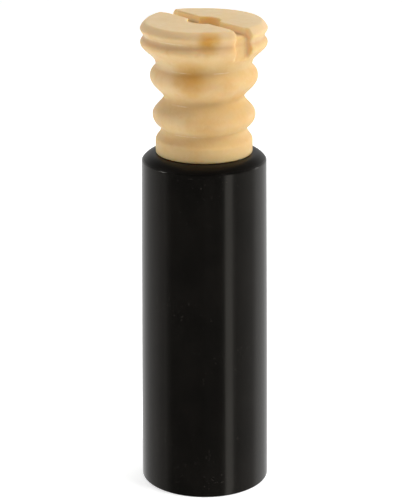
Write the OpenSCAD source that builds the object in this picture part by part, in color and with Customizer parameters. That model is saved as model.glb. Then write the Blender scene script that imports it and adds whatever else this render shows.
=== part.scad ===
/*
  Suspension bump stop in its dust tube.
  A ringed foam bump stop is snapped into the neck of a long plastic dust tube.
  The damper rod runs through both. Origin: centre of the tube's open lower end,
  +Z up along the rod, vent channel across the top of the foam along X. Millimetres.
*/

/* [Dust tube] */
// Length of the tube, from its open end to the top of its neck
tube_len = 146.8; // [110:0.1:200]
// Outside diameter where the side wall meets the shoulder
tube_top_d = 52.4; // [50:0.1:60]
// Outside diameter at the open end, wider by the mould draft
tube_bottom_d = 55; // [50:0.1:62]
// Outward bow of the side wall, over a straight taper
tube_bow = 0.1; // [0.05:0.05:1]
// Wall thickness
tube_wall = 1.8; // [1.2:0.1:2.5]
// Height of the shoulder
shoulder_h = 3.3; // [2.5:0.1:5]
// Outward bow of the shoulder
shoulder_bow = 0.8; // [0.1:0.1:1]
// Diameter of the hole in the neck
neck_hole_d = 35.8; // [35.6:0.1:37]

/* [Foam bump stop] */
// Height of the foam above the tube
stop_h = 55.9; // [55.5:0.1:60]
// Diameter of the collar that sits on the neck
collar_d = 40.6; // [39:0.1:42]
// Diameter of the two lips round the top
lip_d = 52.8; // [50.5:0.1:56]
// Diameter of the groove between the lips
lip_groove_d = 50; // [48:0.1:50.4]
// Diameter of the flat top
top_flat_d = 48; // [40:0.5:49]
// Outward bow of the sloping rim, between the upper lip and the flat top
rim_bow = 0.25; // [0.1:0.05:0.6]
// Hole for the damper rod
rod_bore_d = 14; // [10:0.1:15]
// Width of the vent channel, across the top and down through the lips at both ends
channel_w = 6; // [5:0.1:9]
// Depth of the vent channel under the flat top
channel_d = 3; // [2:0.1:5]
// Distance from the rod's axis to the channel's floor, where it runs down through the lips
channel_end = 23; // [22:0.1:24.5]
// Angle at which the channel's walls open out at both ends
channel_flare = 12; // [5:1:45]

/* [Foam foot inside the tube] */
// Diameter of the snap groove
snap_d = 35; // [34:0.1:35.2]
// Diameter of the bead under the neck
bead_d = 41.2; // [38:0.1:44]
// Length of the foot below the neck
foot_len = 18; // [14:0.5:24]
// Diameter of the foot's lower end
foot_tip_d = 29; // [24:0.5:32]

/* [Hidden] */
$fn = 96;
seat_gap = 0.1;                       // play of the snap groove above and below the neck
edge_r = 0.5;                         // break on the tube's lower edges
neck_t = 2;                           // thickness of the neck
bead_clear = 0.4;                     // how far the flat underside of the neck runs past the bead
seat_z = tube_len + seat_gap;         // underside of the collar, where the foam parts
bead_z = tube_len - neck_t - seat_gap;
channel_turn_r = 1.5;                 // radius of the channel's floor as it turns down
flare_l = 2.5;                        // how far before the channel's end floor its walls open out
over = 5;                             // how far cutting shapes run past the foam
steps = 8;                            // points on each flank of the foam's profile
bow_steps = 12;                       // points on each bowed line of the tube

// The foam's rings and waists: [radius, height above the tube, bias of the flank above].
// A bias below 1 gives a sharp waist and a full ring, above 1 a wide waist.
rings = [
    [collar_d / 2, 5.8, 1.5],
    [18, 11.2, 0.5],
    [21.5, 16.8, 0.95],
    [16.7, 24.4, 0.75],
    [22.45, 32.9, 0.5],
    [20, 37.2, 1.35],
    [lip_d / 2, 47, 0.75],
    [lip_groove_d / 2, 49.5, 1.25],
    [lip_d / 2, 53, 1]
];

// Smooth flank between two stations a and b of the profile, without its first point
function flank(a, b) = [for (i = [1 : steps])
    let (t = i / steps,
         s = pow(a[0] < b[0] ? t : 1 - t, a[2]),
         low = min(a[0], b[0]),
         high = max(a[0], b[0]))
    [low + (high - low) * (1 - cos(180 * s)) / 2, seat_z - seat_gap + a[1] + (b[1] - a[1]) * t]];

// Bowed line from p to q: sag is the bow at its middle, to the right of its direction
function bowed(p, q, sag) =
    let (d = q - p, n = [d[1], -d[0]] / norm(d))
    [for (i = [0 : bow_steps])
        let (t = i / bow_steps)
        p + d * t + n * 4 * sag * t * (1 - t)];

function joined(lists) = [for (l = lists) each l];

module dust_tube() {
    crease = [tube_top_d / 2, tube_len - shoulder_h];
    foot = [tube_bottom_d / 2, edge_r];
    flat_r = collar_d / 2 + 0.3;
    hole_r = neck_hole_d / 2;
    outside = joined([
        bowed(foot, crease, tube_bow),
        bowed(crease, [flat_r, tube_len], shoulder_bow)
    ]);
    inside = [
        [hole_r, tube_len],
        [hole_r, tube_len - neck_t],
        [bead_d / 2 + bead_clear, tube_len - neck_t],
        [tube_top_d / 2 - tube_wall, tube_len - shoulder_h - tube_wall / 2],
        [tube_bottom_d / 2 - tube_wall, edge_r],
        [tube_bottom_d / 2 - tube_wall + edge_r, 0],
        [tube_bottom_d / 2 - edge_r, 0]
    ];
    color([0.06, 0.06, 0.06])
        rotate_extrude() polygon(joined([outside, inside]));
}

// Side view of the channel: an upside-down U round a core with rounded shoulders
module channel_side() {
    low_z = tube_len + rings[len(rings) - 4][1];     // the waist under the lips
    floor_z = tube_len + stop_h - channel_d;
    difference() {
        translate([-lip_d / 2 - over, low_z])
            square([lip_d + 2 * over, floor_z + channel_d + over - low_z]);
        translate([-channel_end, low_z - over])
            square([2 * channel_end, floor_z - channel_turn_r - low_z + over]);
        translate([channel_turn_r - channel_end, low_z - over])
            square([2 * (channel_end - channel_turn_r), floor_z - low_z + over]);
        for (side = [-1, 1])
            translate([side * (channel_end - channel_turn_r), floor_z - channel_turn_r])
                circle(channel_turn_r);
    }
}

// Plan view of the channel: a strip with flared ends
module channel_plan() {
    far_x = lip_d / 2 + over;
    flare_x = channel_end - flare_l;
    half_w = channel_w / 2;
    far_w = half_w + (far_x - flare_x) * tan(channel_flare);
    polygon([
        [-far_x, -far_w], [-flare_x, -half_w], [flare_x, -half_w], [far_x, -far_w],
        [far_x, far_w], [flare_x, half_w], [-flare_x, half_w], [-far_x, far_w]
    ]);
}

module vent_channel() {
    intersection() {
        rotate([90, 0, 0]) linear_extrude(lip_d, center = true) channel_side();
        linear_extrude(tube_len + stop_h + 2 * over) channel_plan();
    }
}

module bump_stop() {
    last = rings[len(rings) - 1];
    flanks = [for (i = [0 : len(rings) - 2]) each flank(rings[i], rings[i + 1])];
    rim = bowed([last[0], tube_len + last[1]], [top_flat_d / 2, tube_len + stop_h], rim_bow);
    outline = joined([
        [[0, seat_z], [collar_d / 2, seat_z], [collar_d / 2, tube_len + rings[0][1]]],
        flanks,
        rim,
        [[0, tube_len + stop_h]]
    ]);
    color([0.87, 0.74, 0.53])
        difference() {
            rotate_extrude() polygon(outline);
            translate([0, 0, seat_z - over])
                cylinder(d = rod_bore_d, h = stop_h + 2 * over);
            vent_channel();
        }
}

module bump_stop_foot() {
    straight = 4;                     // height of the bead's straight side
    tip_z = bead_z - foot_len;
    outline = joined([
        [[0, tip_z], [foot_tip_d / 2, tip_z]],
        [for (i = [1 : steps])
            let (t = 90 * i / steps)
            [foot_tip_d / 2 + (bead_d - foot_tip_d) / 2 * sin(t),
             bead_z - straight - (foot_len - straight) * cos(t)]],
        [[bead_d / 2, bead_z], [snap_d / 2, bead_z], [snap_d / 2, seat_z], [0, seat_z]]
    ]);
    color([0.84, 0.70, 0.49])
        difference() {
            rotate_extrude() polygon(outline);
            translate([0, 0, tip_z - over])
                cylinder(d = rod_bore_d, h = foot_len + neck_t + 2 * over);
        }
}

dust_tube();
bump_stop_foot();
bump_stop();
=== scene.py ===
"""Foam bump stop in its dust tube, on a pale floor under soft studio light.

Everything is in metres, in the frame of the CAD model: origin at the centre of the tube's open
end, +Z up along the damper rod, +X along the vent channel across the foam's top.
"""
import math

import bmesh
import bpy
import numpy as np
from mathutils import Matrix, Vector


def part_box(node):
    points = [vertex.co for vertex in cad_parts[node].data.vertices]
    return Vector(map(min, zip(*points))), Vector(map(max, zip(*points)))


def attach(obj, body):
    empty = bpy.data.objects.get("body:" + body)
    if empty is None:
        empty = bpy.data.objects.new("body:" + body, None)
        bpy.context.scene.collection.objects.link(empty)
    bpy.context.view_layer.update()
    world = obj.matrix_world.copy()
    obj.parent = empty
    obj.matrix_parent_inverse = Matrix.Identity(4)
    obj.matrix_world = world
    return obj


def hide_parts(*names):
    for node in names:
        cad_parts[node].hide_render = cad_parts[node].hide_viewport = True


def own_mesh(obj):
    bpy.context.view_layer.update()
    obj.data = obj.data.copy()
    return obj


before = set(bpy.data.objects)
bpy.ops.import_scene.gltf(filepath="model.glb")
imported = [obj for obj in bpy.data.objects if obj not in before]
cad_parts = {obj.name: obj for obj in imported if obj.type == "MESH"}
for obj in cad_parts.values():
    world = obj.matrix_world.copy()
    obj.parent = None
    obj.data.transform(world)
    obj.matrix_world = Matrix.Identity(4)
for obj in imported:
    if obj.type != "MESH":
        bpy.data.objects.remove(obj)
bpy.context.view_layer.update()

MM = 0.001

# Where the camera stands round the object. Bearings in this script are in degrees round +Z.
# A bearing is counted from the camera's own side: 0 faces the camera, +90 is on its right.
CAMERA_AZIMUTH = 50.5
CAMERA_TILT = 18.76
CAMERA_ROLL = -0.177
CAMERA_DISTANCE = 808.1 * MM
CAMERA_HEIGHT = 377.5 * MM
CAMERA_SIDESTEP = -1.24 * MM
CAMERA_CLIP_START = 10 * MM
FOCAL_LENGTH_PX = 2002
FRAME_HEIGHT_PX = 500

# The floor glows a little, and lies a hair under the tube so that no two faces coincide
FLOOR_HALF = 4.0
FLOOR_Z = -0.05 * MM
FLOOR_WHITE = (0.93, 0.93, 0.92, 1)
FLOOR_ROUGHNESS = 0.9
FLOOR_GLOW = 0.56

# The studio round the object: (bearing, brightness) of its walls, dark behind the camera,
# with one bright strip on the right that draws the long streak on the tube
STUDIO = [
    (-180, 0.80), (-150, 0.76), (-120, 0.48), (-100, 0.40), (-88, 0.30), (-82, 0.25), (-78, 0.31),
    (-73, 0.18), (-63, 0.06), (-20, 0.04), (27, 0.06), (36.5, 0.12), (39.5, 0.85), (50, 0.85),
    (55, 0.30), (62, 0.20), (75, 0.26), (98, 0.36), (112, 0.70), (130, 0.72), (180, 0.80),
]
# The walls fade out between these heights, as sines of the angle above the horizon
WALL_TOP = (0.15, 0.6)
CEILING = 0.16

# Square lamps: (name, bearing, distance from the axis, height, size, power, in the gloss or not).
# Only the two glints show in the gloss. The other three just give light.
LAMPS = [
    ("key_right", 72, 0.95, 0.95, 0.7, 12.8, False),
    ("fill_left", -60, 1.2, 0.9, 0.9, 2.9, False),
    ("top_back", 180, 0.45, 1.1, 0.7, 4.6, False),
    ("glint_left", -84, 1.0, 0.59, 0.2, 2.2, True),
    ("glint_right", 112, 1.0, 0.41, 0.2, 0.8, True),
]
LAMP_AIM = (0, 0, 0.13)

# The tube, as in the CAD model
TUBE_TOP_R = 26.2 * MM
TUBE_BOTTOM_R = 27.5 * MM
TUBE_BOW = 0.1 * MM
TUBE_WALL = 1.8 * MM
SHOULDER_H = 3.3 * MM
SHOULDER_Z = 143.5 * MM
SHOULDER_BOW = 0.8 * MM
SHOULDER_TOP_R = 20.6 * MM
NECK_HOLE_R = 17.9 * MM
NECK_T = 2 * MM
BEAD_RECESS_R = 21 * MM

# The tube's mesh: steps along its two bowed lines, segments round it, and the radii of its edges
SIDE_STEPS = 40
SHOULDER_STEPS = 12
TUBE_SEGMENTS = 256
RIM_EDGE_R = 0.45 * MM
CREASE_EDGE_R = 0.35 * MM
HOLE_TOP_EDGE_R = 0.3 * MM
HOLE_LOW_EDGE_R = 0.5 * MM
INNER_CORNER_R = 1.0 * MM

# The foam's meshes: the size of their voxels and the rounds of smoothing over all of each. The
# foot's is finer and smoothed less, because it fits in the tube's neck.
STOP_VOXEL = 0.45 * MM
STOP_SMOOTHING = 2
FOOT_VOXEL = 0.35 * MM
FOOT_SMOOTHING = 1
SMOOTH_FACTOR = 0.5
WELD_DISTANCE = 1e-6

# The foam's vent channel, as in the CAD model to within 0.1 mm: half its width across the top and
# at its two ends, and the distance from the rod's axis to its floor there
CHANNEL_HALF = 3 * MM
CHANNEL_CORNER_Y = 3.5 * MM
CHANNEL_END = 23 * MM

# Its edges get more rounds of smoothing above this height: how many, what share of them at the
# two ends and beside the rest of it, and how far the softening reaches over its edges
WORN_FROM_Z = 189.5 * MM
WEAR_ROUNDS = 20
END_WEAR = 0.4
END_WEAR_REACH_X = 2 * MM
END_WEAR_REACH_Y = 3 * MM
SIDE_WEAR = 0.05
SIDE_WEAR_REACH = 1.5 * MM

# The foam's top isn't quite flat: it stands this much higher at the channel's -X end
SWELL = 0.5 * MM
SWELL_FROM_X = 12 * MM
SWELL_REACH_Y = 14 * MM
SWELL_FROM_Z = 197 * MM

# The foam's colours
CREAM = (0.69, 0.475, 0.215)
PALE = (0.75, 0.56, 0.31)
# Pink is a tone of the foam, and also painted shade in the groove between the lips
PINK = (0.62, 0.37, 0.19)
# Amber is a tone of the foam, and also painted shade in the waists and on the channel's floor
AMBER = (0.64, 0.38, 0.125)
# Ochre is the stains' colour, and also painted shade in the channel's corners
OCHRE = (0.59, 0.30, 0.04)
# A paler colour for the foam's top
PALER_TOP = (0.66, 0.50, 0.295)
# Painted light: a bright colour for the bore's walls, where light comes through the foam
BORE_PAINTED_LIGHT = (0.86, 0.63, 0.27)
# Painted light: a bright colour for the channel's walls, where light comes through the foam
CHANNEL_WALL_PAINTED_LIGHT = (0.83, 0.65, 0.37)
# Painted highlight along the mould lines
MOULD_LINE_HIGHLIGHT = (0.92, 0.80, 0.62)

# The foam's uneven colour, as layers of noise over cream, from broad drifts to fine mottling:
# (features per metre, detail, roughness, stretch or None, the noise levels between which the
# colour comes in, its strength, the colour). A low stretch along Z draws upright streaks.
FOAM_LAYERS = [
    (28, 3, 0.55, None, 0.35, 0.70, 1.0, PALE),
    (45, 4, 0.55, (1, 1, 2.2), 0.50, 0.75, 0.3, PINK),
    (150, 5, 0.65, None, 0.50, 0.72, 0.35, AMBER),
    (150, 3, 0.55, (1, 1, 0.2), 0.48, 0.72, 0.3, AMBER),
    (700, 3, 0.6, None, 0.45, 0.75, 0.25, PALE),
]

# Where the foam's other colours come in: (where there is nothing, where it is full, strength).
# They are radii about the rod's axis (R), heights (Z) and distances from the channel's middle (Y).
# Painted shade: the waists, hollows of the foam, are deeper in colour
WAIST_SHADE_R = (20.5 * MM, 16.5 * MM, 0.4)
# Where the bore's walls get their painted light
BORE_R = (7.5 * MM, 7.1 * MM, 0.85)
TOP_Z = (198.5 * MM, 201.5 * MM, 0.75)
BELOW_TOP_Z = (202.6 * MM, 202.1 * MM, 1)
LIPS_Z = (189 * MM, 191 * MM, 1)
# Where the painted shade in the channel's corners comes in
CORNER_SHADE_Z = (189 * MM, 192 * MM, 0.25)
# Painted shade on the channel's floor
CHANNEL_FLOOR_SHADE_Y = (2.9 * MM, 2.4 * MM, 0.2)
# Where the channel's walls get their painted light
CHANNEL_WALL_INNER_Y = (2.5 * MM, 2.9 * MM, 1)
CHANNEL_WALL_OUTER_Y = (4.1 * MM, 3.5 * MM, 0.8)

# Bands of colour: (where they are full, how far they fade on both sides, strength)
# Painted shade: a pink band in the groove between the lips
LIP_GROOVE_SHADE_Z = (196.2 * MM, 1.4 * MM, 0.45)
# The painted shade in the channel's corners: along its ends and across at its corners
CHANNEL_END_X = (CHANNEL_END, 1.8 * MM, 1)
CHANNEL_CORNER = (CHANNEL_CORNER_Y, 1.6 * MM, 1)
MOULD_LINE_REACH = 0.32 * MM

# Brown, see-through stains where the foam is denser: (bearing, radius, height, size, strength).
# Each is full within this share of its size.
STAIN_CORE = 0.15
STAINS = [
    (5, 25.5 * MM, 199.1 * MM, 6.8 * MM, 1.0),
    (-15, 22 * MM, 182.6 * MM, 11.0 * MM, 0.75),
    (5, 19 * MM, 160.0 * MM, 6.0 * MM, 0.25),
]

# Thin pale lines left by the mould, small ridges with a painted highlight along them: (bearing of
# the middle, radius, height, half its length).
# Each is full within this share of its half length.
MOULD_LINE_CORE = 0.6
MOULD_LINES = [
    (-28, 20 * MM, 184.7 * MM, 5 * MM),
    (21, 20 * MM, 184.7 * MM, 4 * MM),
    (-38, 17 * MM, 169.9 * MM, 5 * MM),
    (-50, 25 * MM, 197.6 * MM, 16 * MM),
    (-20, 20.5 * MM, 157.6 * MM, 9 * MM),
]

# Patchy values, each a ramp over a noise: (features per metre, detail, stretch or None, the two
# noise levels that the ramp runs between, the two values that it runs between)
STAIN_BREAKS = (160, 3, None, 0.25, 0.6, 0.6, 1)
MOULD_LINE_BREAKS = (260, 2, None, 0.35, 0.6, 0.1, 0.45)
FOAM_ROUGHNESS = (220, 4, None, 0.3, 0.7, 0.42, 0.60)
BROWN_DRIFT = (60, 4, None, 0.35, 0.7, 0, 1)
DRAG_MARKS = (700, 3, (1, 1, 0.02), 0.5, 0.8, 0, 1)
DUST_SPECKS = (1100, 2, None, 0.66, 0.74, 0, 1)
DUSTY_PLACES = (40, 3, None, 0.4, 0.7, 0, 1)
PLASTIC_ROUGHNESS = (130, 4, (1, 1, 0.25), 0.3, 0.7, 0.11, 0.16)

# Bumps from a noise: (features per metre, detail, roughness, stretch or None, height)
FOAM_SKIN = (420, 3, 0.55, None, 0.12 * MM)
FOAM_GRAIN = (1400, 4, 0.6, None, 0.05 * MM)
PLASTIC_WAVE = (55, 2, 0.55, (1, 1, 0.3), 0.05 * MM)
PLASTIC_GRAIN = (900, 3, 0.55, None, 0.004 * MM)
MOULD_LINE_H = 0.08 * MM
DRAG_MARK_H = 0.002 * MM

# How the foam takes light: its index of refraction, the share that goes under the skin, and how
# far it goes there in red, green and blue, as parts of a scale
FOAM_IOR = 1.45
SUBSURFACE_SHARE = 0.75
SUBSURFACE_RADIUS = (1.0, 0.6, 0.3)
SUBSURFACE_SCALE = 5 * MM

# The tube's colours and gloss, the height over which its shoulder turns dull, and how much
# rougher the plastic is at the drag marks, the dust and the shoulder
CARBON_BLACK = (0.0040, 0.0036, 0.0031)
BROWNER_BLACK = (0.0064, 0.0056, 0.0047)
DUST = (0.10, 0.085, 0.07)
DUST_SHARE = 0.3
PLASTIC_IOR = 1.5
WARM_GLOSS = (1.0, 0.95, 0.86, 1)
SIDE_GLOSS = 0.5
SHOULDER_GLOSS = 0.2
SHOULDER_FADE = 1 * MM
DRAG_ROUGHER = 0.05
DUST_ROUGHER = 0.2
SHOULDER_ROUGHER = 0.22

tube_low, tube_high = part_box("dust_tube")
stop_low, stop_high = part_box("bump_stop")


def bearing_point(bearing, radius, z):
    """The point at a bearing from the camera's side, a radius from the axis and a height."""
    a = math.radians(CAMERA_AZIMUTH - 90 + bearing)
    return Vector((radius * math.cos(a), radius * math.sin(a), z))


# ---------------------------------------------------------------- camera, floor and light

def add_camera():
    turn = Matrix.Rotation(math.radians(CAMERA_AZIMUTH), 4, "Z")
    data = bpy.data.cameras.new("camera")
    # The sensor's width spans the frame's longer side, which is its height
    data.lens = FOCAL_LENGTH_PX * data.sensor_width / FRAME_HEIGHT_PX
    data.clip_start = CAMERA_CLIP_START
    camera = bpy.data.objects.new("camera", data)
    bpy.context.scene.collection.objects.link(camera)
    camera.matrix_world = (
        turn
        @ Matrix.Translation((CAMERA_SIDESTEP, -CAMERA_DISTANCE, CAMERA_HEIGHT))
        @ Matrix.Rotation(math.radians(90 - CAMERA_TILT), 4, "X")
        @ Matrix.Rotation(math.radians(CAMERA_ROLL), 4, "Z")
    )
    bpy.context.scene.camera = camera


def add_floor():
    mesh = bpy.data.meshes.new("floor")
    corners = [(-1, -1), (1, -1), (1, 1), (-1, 1)]
    mesh.from_pydata([(x * FLOOR_HALF, y * FLOOR_HALF, 0) for x, y in corners], [], [(0, 1, 2, 3)])
    floor = bpy.data.objects.new("floor", mesh)
    bpy.context.scene.collection.objects.link(floor)
    floor.location.z = FLOOR_Z
    floor.visible_glossy = False
    material = bpy.data.materials.new("floor_white")
    material.use_nodes = True
    shader = material.node_tree.nodes["Principled BSDF"]
    shader.inputs["Base Color"].default_value = FLOOR_WHITE
    shader.inputs["Roughness"].default_value = FLOOR_ROUGHNESS
    shader.inputs["Emission Color"].default_value = (1, 1, 1, 1)
    shader.inputs["Emission Strength"].default_value = FLOOR_GLOW
    mesh.materials.append(material)


def set_range(node, low, high, to_low, to_high):
    """Sets the four ends of a Map Range node."""
    node.inputs["From Min"].default_value = low
    node.inputs["From Max"].default_value = high
    node.inputs["To Min"].default_value = to_low
    node.inputs["To Max"].default_value = to_high


def add_studio():
    world = bpy.data.worlds.new("studio")
    bpy.context.scene.world = world
    world.use_nodes = True
    nodes, links = world.node_tree.nodes, world.node_tree.links
    coordinates = nodes.new("ShaderNodeTexCoord")
    turned = nodes.new("ShaderNodeVectorRotate")
    turned.rotation_type = "Z_AXIS"
    # After the turn, the camera's side is on -X and its right is on -Y
    turned.inputs["Angle"].default_value = -math.radians(CAMERA_AZIMUTH + 90)
    axes = nodes.new("ShaderNodeSeparateXYZ")
    bearing = nodes.new("ShaderNodeMath")
    bearing.operation = "ARCTAN2"
    share = nodes.new("ShaderNodeMapRange")
    set_range(share, -math.pi, math.pi, 0, 1)
    ramp = nodes.new("ShaderNodeValToRGB")
    links.new(coordinates.outputs["Generated"], turned.inputs["Vector"])
    links.new(turned.outputs["Vector"], axes.inputs["Vector"])
    links.new(axes.outputs["Y"], bearing.inputs[0])
    links.new(axes.outputs["X"], bearing.inputs[1])
    links.new(bearing.outputs[0], share.inputs["Value"])
    links.new(share.outputs["Result"], ramp.inputs["Fac"])
    fade = nodes.new("ShaderNodeMapRange")
    set_range(fade, *WALL_TOP, 1, CEILING)
    links.new(axes.outputs["Z"], fade.inputs["Value"])
    links.new(fade.outputs["Result"], nodes["Background"].inputs["Strength"])
    links.new(ramp.outputs["Color"], nodes["Background"].inputs["Color"])
    # Bearing 0 is in the ramp's ends, so the stops run from 0 round to 360
    stops = sorted(((b % 360) / 360, level) for b, level in STUDIO)
    elements = ramp.color_ramp.elements
    while len(elements) < len(stops):
        elements.new(0.5)
    for element, (place, level) in zip(elements, stops):
        element.position = place
        element.color = (level, level, level, 1)


def add_lamp(name, bearing, distance, height, size, power, in_gloss):
    data = bpy.data.lights.new(name, "AREA")
    data.size = size
    data.energy = power
    lamp = bpy.data.objects.new(name, data)
    bpy.context.scene.collection.objects.link(lamp)
    lamp.location = bearing_point(bearing, distance, height)
    aim = Vector(LAMP_AIM) - lamp.location
    lamp.rotation_mode = "QUATERNION"
    lamp.rotation_quaternion = aim.to_track_quat("-Z", "Y")
    lamp.visible_glossy = in_gloss


# ---------------------------------------------------------------- mesh helpers

def bowed(p, q, sag, steps):
    """Points from p to q on a line that bows out by sag, to the right of its direction."""
    p, q = Vector(p), Vector(q)
    along = q - p
    out = Vector((along.y, -along.x)).normalized()
    return [p + along * t + out * (4 * sag * t * (1 - t)) for t in np.linspace(0, 1, steps + 1)]


def rounded(outline, corners, steps=5):
    """The closed outline with the corners {index: radius} rounded by circular arcs."""
    made = []
    count = len(outline)
    for i, point in enumerate(outline):
        point = Vector(point)
        if i not in corners:
            made.append(point)
            continue
        before = (Vector(outline[i - 1]) - point).normalized()
        after = (Vector(outline[(i + 1) % count]) - point).normalized()
        half = before.angle(after) / 2
        radius = corners[i]
        centre = point + (before + after).normalized() * (radius / math.sin(half))
        start = point + before * (radius / math.tan(half)) - centre
        end = point + after * (radius / math.tan(half)) - centre
        for k in range(steps + 1):
            ray = start.lerp(end, k / steps).normalized()
            made.append(centre + ray * radius)
    return made


def lathe(name, outline, segments):
    """A closed ring with this (radius, height) outline, turned about Z."""
    mesh = bpy.data.meshes.new(name)
    turns = [2 * math.pi * k / segments for k in range(segments)]
    points = [(p[0] * math.cos(a), p[0] * math.sin(a), p[1]) for a in turns for p in outline]
    n = len(outline)
    faces = []
    for k in range(segments):
        here, there = k * n, (k + 1) % segments * n
        for i in range(n):
            above = (i + 1) % n
            faces.append((here + i, there + i, there + above, here + above))
    mesh.from_pydata(points, [], faces)
    mesh.shade_smooth()
    piece = bpy.data.objects.new(name, mesh)
    bpy.context.scene.collection.objects.link(piece)
    return piece


def bake_modifiers(piece):
    graph = bpy.context.evaluated_depsgraph_get()
    mesh = bpy.data.meshes.new_from_object(piece.evaluated_get(graph), depsgraph=graph)
    piece.modifiers.clear()
    piece.data = mesh


def vertices_of(mesh):
    flat = np.empty(len(mesh.vertices) * 3)
    mesh.vertices.foreach_get("co", flat)
    return flat.reshape(-1, 3)


def moulded_copy(node, name, voxel, smoothing, wear=None, lift=None):
    """A copy of a CAD node as one even, dense mesh, with its sharp edges softened.

    wear(places) gives each vertex its share, 0 to 1, of WEAR_ROUNDS more rounds of smoothing, and
    lift(places) how far it is raised. The resting place of each vertex is kept in the attribute
    "place", so that the material's features stay on the foam if it is squashed.
    """
    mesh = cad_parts[node].data.copy()
    mesh.name = name
    mesh.materials.clear()
    piece = bpy.data.objects.new(name, mesh)
    bpy.context.scene.collection.objects.link(piece)
    welded = bmesh.new()
    welded.from_mesh(mesh)
    bmesh.ops.remove_doubles(welded, verts=welded.verts, dist=WELD_DISTANCE)
    welded.to_mesh(mesh)
    welded.free()
    remesh = piece.modifiers.new("even", "REMESH")
    remesh.mode = "VOXEL"
    remesh.voxel_size = voxel
    remesh.use_smooth_shade = True
    soften = piece.modifiers.new("soften", "SMOOTH")
    soften.factor = SMOOTH_FACTOR
    soften.iterations = smoothing
    bake_modifiers(piece)
    if wear:
        shares = wear(vertices_of(piece.data))
        group = piece.vertex_groups.new(name="worn")
        for share in np.unique(shares[shares > 0]):
            group.add(np.flatnonzero(shares == share).tolist(), float(share), "REPLACE")
        rub = piece.modifiers.new("rub", "SMOOTH")
        rub.factor = SMOOTH_FACTOR
        rub.iterations = WEAR_ROUNDS
        rub.vertex_group = "worn"
        bake_modifiers(piece)
        piece.vertex_groups.clear()
    if lift:
        places = vertices_of(piece.data)
        places[:, 2] += lift(places)
        piece.data.vertices.foreach_set("co", places.ravel())
        piece.data.update()
    place = piece.data.attributes.new("place", "FLOAT_VECTOR", "POINT")
    place.data.foreach_set("vector", vertices_of(piece.data).ravel())
    return piece


# ---------------------------------------------------------------- materials

class Shader:
    """A node material with a Principled shader, and short calls to add nodes to it.

    A noise's scale counts its features per metre.
    """

    def __init__(self, name, place=None):
        self.material = bpy.data.materials.new(name)
        self.material.use_nodes = True
        self.nodes = self.material.node_tree.nodes
        self.links = self.material.node_tree.links
        self.surface = self.nodes["Principled BSDF"]
        if place:
            self.place = self.add("ShaderNodeAttribute", attribute_name=place).outputs["Vector"]
        else:
            self.place = self.add("ShaderNodeTexCoord").outputs["Object"]

    def add(self, kind, **settings):
        node = self.nodes.new(kind)
        for key, value in settings.items():
            setattr(node, key, value)
        return node

    def feed(self, socket, value):
        if isinstance(value, bpy.types.NodeSocket):
            self.links.new(value, socket)
        else:
            socket.default_value = value

    def feed_colour(self, socket, value):
        self.feed(socket, value if isinstance(value, bpy.types.NodeSocket) else (*value, 1))

    def noise(self, scale, detail=3, rough=0.55, stretch=None):
        node = self.add("ShaderNodeTexNoise")
        self.feed(node.inputs["Vector"], self.stretched(*stretch) if stretch else self.place)
        node.inputs["Scale"].default_value = scale
        node.inputs["Detail"].default_value = detail
        node.inputs["Roughness"].default_value = rough
        return node.outputs["Fac"]

    def stretched(self, x, y, z):
        node = self.add("ShaderNodeVectorMath", operation="MULTIPLY")
        self.feed(node.inputs[0], self.place)
        node.inputs[1].default_value = (x, y, z)
        return node.outputs["Vector"]

    def ramp(self, value, low, high, to_low, to_high):
        """to_low at the value low, to_high at the value high, and a smooth step between them."""
        node = self.add("ShaderNodeMapRange", interpolation_type="SMOOTHSTEP")
        self.feed(node.inputs["Value"], value)
        set_range(node, low, high, to_low, to_high)
        return node.outputs["Result"]

    def fade(self, value, start, full, strength):
        """Nothing where the value is start, growing to strength where it is full."""
        return self.ramp(value, start, full, 0, strength)

    def patchy(self, scale, detail, stretch, low, high, to_low, to_high):
        """A ramp over a noise."""
        return self.ramp(self.noise(scale, detail, stretch=stretch), low, high, to_low, to_high)

    def math(self, operation, a, b=0.0):
        node = self.add("ShaderNodeMath", operation=operation)
        self.feed(node.inputs[0], a)
        self.feed(node.inputs[1], b)
        return node.outputs[0]

    def times(self, a, b):
        return self.math("MULTIPLY", a, b)

    def mix(self, share, a, b):
        node = self.add("ShaderNodeMix", data_type="RGBA")
        self.feed(node.inputs["Factor"], share)
        self.feed_colour(node.inputs["A"], a)
        self.feed_colour(node.inputs["B"], b)
        return node.outputs["Result"]

    def part_of(self, vector, axis):
        node = self.add("ShaderNodeSeparateXYZ")
        self.feed(node.inputs["Vector"], vector)
        return node.outputs[axis]

    def distance_from_axis(self):
        node = self.add("ShaderNodeVectorMath", operation="LENGTH")
        self.feed(node.inputs[0], self.stretched(1, 1, 0))
        return node.outputs["Value"]

    def distance_to(self, point):
        node = self.add("ShaderNodeVectorMath", operation="DISTANCE")
        self.feed(node.inputs[0], self.place)
        node.inputs[1].default_value = point
        return node.outputs["Value"]

    def band(self, value, middle, reach, strength):
        """Strength at the middle value, fading to nothing at reach on both sides of it."""
        away = self.math("ABSOLUTE", self.math("SUBTRACT", value, middle))
        return self.fade(away, reach, 0, strength)

    def bump(self, height, distance, before=None):
        node = self.add("ShaderNodeBump")
        node.inputs["Strength"].default_value = 1.0
        node.inputs["Distance"].default_value = distance
        self.feed(node.inputs["Height"], height)
        if before:
            self.feed(node.inputs["Normal"], before)
        return node.outputs["Normal"]

    def noise_bump(self, scale, detail, rough, stretch, distance, before=None):
        return self.bump(self.noise(scale, detail, rough, stretch), distance, before)


def uneven_cream(s):
    """Cream with broad drifts of colour, blotches, upright streaks and fine mottling."""
    colour = CREAM
    for scale, detail, rough, stretch, low, high, strength, tint in FOAM_LAYERS:
        level = s.noise(scale, detail, rough, stretch)
        colour = s.mix(s.fade(level, low, high, strength), colour, tint)
    return colour


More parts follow.
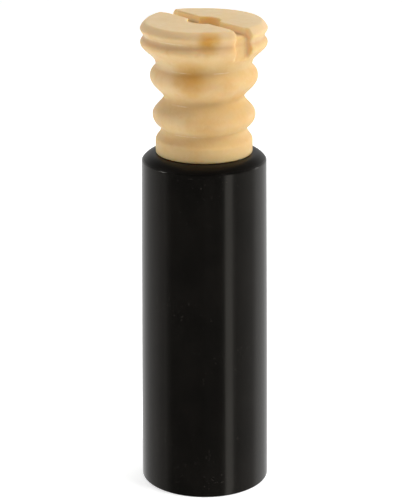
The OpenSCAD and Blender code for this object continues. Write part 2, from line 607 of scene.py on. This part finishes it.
def channel_colours(s, colour, height, radius):
    """The colour changed in the bore and the channel: painted light on their walls, where light
    comes through the foam, and painted shade on the channel's floor and in its corners.
    """
    across = s.math("ABSOLUTE", s.part_of(s.place, "Y"))
    along = s.math("ABSOLUTE", s.part_of(s.place, "X"))
    below_top = s.fade(height, *BELOW_TOP_Z)
    at_lips = s.fade(height, *LIPS_Z)
    # Painted shade on the channel's floor
    floor = s.times(at_lips, s.fade(across, *CHANNEL_FLOOR_SHADE_Y))
    colour = s.mix(floor, colour, AMBER)
    # Painted light on the channel's walls
    inner = s.fade(across, *CHANNEL_WALL_INNER_Y)
    outer = s.fade(across, *CHANNEL_WALL_OUTER_Y)
    walls = s.times(s.times(inner, outer), s.times(at_lips, below_top))
    colour = s.mix(walls, colour, CHANNEL_WALL_PAINTED_LIGHT)
    # Painted light on the bore's walls
    bore = s.times(s.fade(radius, *BORE_R), below_top)
    colour = s.mix(bore, colour, BORE_PAINTED_LIGHT)
    # Painted shade: a deeper line in the corner between the channel's walls and its floor at both
    # ends
    line = s.times(s.band(along, *CHANNEL_END_X), s.band(across, *CHANNEL_CORNER))
    return s.mix(s.times(line, s.fade(height, *CORNER_SHADE_Z)), colour, OCHRE)


def stained(s, colour):
    """The colour with the brown stains on it, each broken up by a noise."""
    for bearing, reach, level, size, strength in STAINS:
        away = s.distance_to(bearing_point(bearing, reach, level))
        broken = s.times(s.fade(away, size, STAIN_CORE * size, 1), s.patchy(*STAIN_BREAKS))
        colour = s.mix(s.times(broken, strength), colour, OCHRE)
    return colour


def mould_line_mask(s, height):
    """Where the mould lines are, as one mask that a noise makes weaker here and there."""
    lines = None
    for bearing, reach, level, half in MOULD_LINES:
        away = s.distance_to(bearing_point(bearing, reach, level))
        near = s.fade(away, half, MOULD_LINE_CORE * half, 1)
        line = s.times(s.band(height, level, MOULD_LINE_REACH, 1), near)
        lines = s.math("MAXIMUM", lines, line) if lines else line
    return s.times(lines, s.patchy(*MOULD_LINE_BREAKS))


def foam_material():
    s = Shader("cream_foam", place="place")
    height = s.part_of(s.place, "Z")
    radius = s.distance_from_axis()
    colour = uneven_cream(s)
    # The waists are deeper in colour and the groove between the lips is pink: painted shade in
    # these hollows. The top is paler.
    colour = s.mix(s.fade(radius, *WAIST_SHADE_R), colour, AMBER)
    colour = s.mix(s.fade(height, *TOP_Z), colour, PALER_TOP)
    colour = s.mix(s.band(height, *LIP_GROOVE_SHADE_Z), colour, PINK)
    colour = channel_colours(s, colour, height, radius)
    colour = stained(s, colour)
    lines = mould_line_mask(s, height)
    # The mould lines are a painted highlight in the colour, on the small ridge that the bump below
    # raises
    s.feed(s.surface.inputs["Base Color"], s.mix(lines, colour, MOULD_LINE_HIGHLIGHT))
    s.feed(s.surface.inputs["Roughness"], s.patchy(*FOAM_ROUGHNESS))
    s.surface.inputs["IOR"].default_value = FOAM_IOR
    s.surface.inputs["Subsurface Weight"].default_value = SUBSURFACE_SHARE
    s.surface.inputs["Subsurface Radius"].default_value = SUBSURFACE_RADIUS
    s.surface.inputs["Subsurface Scale"].default_value = SUBSURFACE_SCALE
    grain = s.noise_bump(*FOAM_GRAIN, s.noise_bump(*FOAM_SKIN))
    s.feed(s.surface.inputs["Normal"], s.bump(lines, MOULD_LINE_H, grain))
    return s.material


def plastic_material():
    """Carbon black with a faint brown drift, fine drag marks from the mould and a little dust."""
    s = Shader("black_plastic")
    height = s.part_of(s.place, "Z")
    shoulder = s.fade(height, SHOULDER_Z, SHOULDER_Z + SHOULDER_FADE, 1)
    colour = s.mix(s.patchy(*BROWN_DRIFT), CARBON_BLACK, BROWNER_BLACK)
    drag = s.patchy(*DRAG_MARKS)
    dust = s.times(s.patchy(*DUST_SPECKS), s.patchy(*DUSTY_PLACES))
    colour = s.mix(s.times(dust, DUST_SHARE), colour, DUST)
    s.feed(s.surface.inputs["Base Color"], colour)
    # The moulded shoulder is duller than the side wall, and so are the drag marks and the dust
    rough = s.patchy(*PLASTIC_ROUGHNESS)
    for mask, rougher in ((drag, DRAG_ROUGHER), (dust, DUST_ROUGHER), (shoulder, SHOULDER_ROUGHER)):
        rough = s.math("ADD", rough, s.times(mask, rougher))
    s.feed(s.surface.inputs["Roughness"], rough)
    gloss = s.ramp(shoulder, 0, 1, SIDE_GLOSS, SHOULDER_GLOSS)
    s.feed(s.surface.inputs["Specular IOR Level"], gloss)
    s.surface.inputs["IOR"].default_value = PLASTIC_IOR
    s.surface.inputs["Specular Tint"].default_value = WARM_GLOSS
    grain = s.noise_bump(*PLASTIC_GRAIN, s.noise_bump(*PLASTIC_WAVE))
    s.feed(s.surface.inputs["Normal"], s.bump(drag, DRAG_MARK_H, grain))
    return s.material


# ---------------------------------------------------------------- pieces

def make_tube():
    top = tube_high.z
    crease = (TUBE_TOP_R, top - SHOULDER_H)
    side = bowed((TUBE_BOTTOM_R, tube_low.z), crease, TUBE_BOW, SIDE_STEPS)
    shoulder = bowed(crease, (SHOULDER_TOP_R, top), SHOULDER_BOW, SHOULDER_STEPS)
    inside = [
        (NECK_HOLE_R, top),
        (NECK_HOLE_R, top - NECK_T),
        (BEAD_RECESS_R, top - NECK_T),
        (TUBE_TOP_R - TUBE_WALL, top - SHOULDER_H - TUBE_WALL / 2),
        (TUBE_BOTTOM_R - TUBE_WALL, tube_low.z),
    ]
    outline = side + shoulder[1:] + inside
    last = len(outline) - 1
    corners = {
        0: RIM_EDGE_R,
        len(side) - 1: CREASE_EDGE_R,
        last - 4: HOLE_TOP_EDGE_R,
        last - 3: HOLE_LOW_EDGE_R,
        last - 1: INNER_CORNER_R,
        last: RIM_EDGE_R,
    }
    tube = lathe("dust_tube_shell", rounded(outline, corners), TUBE_SEGMENTS)
    tube.data.materials.append(plastic_material())
    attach(tube, "dust_tube")
    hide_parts("dust_tube")


def channel_wear(places):
    """Softening of the vent channel's edges: most at its two ends, and less across the top."""
    along = np.abs(places[:, 0])
    across = np.abs(places[:, 1])
    high = places[:, 2] > WORN_FROM_Z
    at_ends = along > CHANNEL_END - END_WEAR_REACH_X
    at_ends &= across < CHANNEL_CORNER_Y + END_WEAR_REACH_Y
    beside = across < CHANNEL_HALF + SIDE_WEAR_REACH
    return np.where(high & at_ends, END_WEAR, np.where(high & beside, SIDE_WEAR, 0.0))


def uneven_top(places):
    """How far the foam's top stands above a true flat: a little, beside one end of the channel."""
    high = np.clip((places[:, 2] - SWELL_FROM_Z) / (stop_high.z - SWELL_FROM_Z), 0, 1)
    end = np.clip((SWELL_FROM_X - places[:, 0]) / (SWELL_FROM_X + CHANNEL_END), 0, 1)
    beside = np.clip(1 - np.abs(places[:, 1]) / SWELL_REACH_Y, 0, 1)
    return SWELL * high * beside * end * end * (3 - 2 * end)


def make_foam():
    """The foam, in two pieces. Both ride on its foot."""
    foam = foam_material()
    stop = moulded_copy("bump_stop", "foam_bump_stop", STOP_VOXEL, STOP_SMOOTHING,
                        channel_wear, uneven_top)
    foot = moulded_copy("bump_stop_foot", "foam_foot", FOOT_VOXEL, FOOT_SMOOTHING)
    for piece, node in ((stop, "bump_stop"), (foot, "bump_stop_foot")):
        piece.data.materials.append(foam)
        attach(piece, "bump_stop_foot")
        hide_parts(node)
    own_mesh(stop)


add_camera()
add_floor()
add_studio()
for lamp_settings in LAMPS:
    add_lamp(*lamp_settings)
bpy.context.scene.view_settings.view_transform = "Standard"
make_tube()
make_foam()
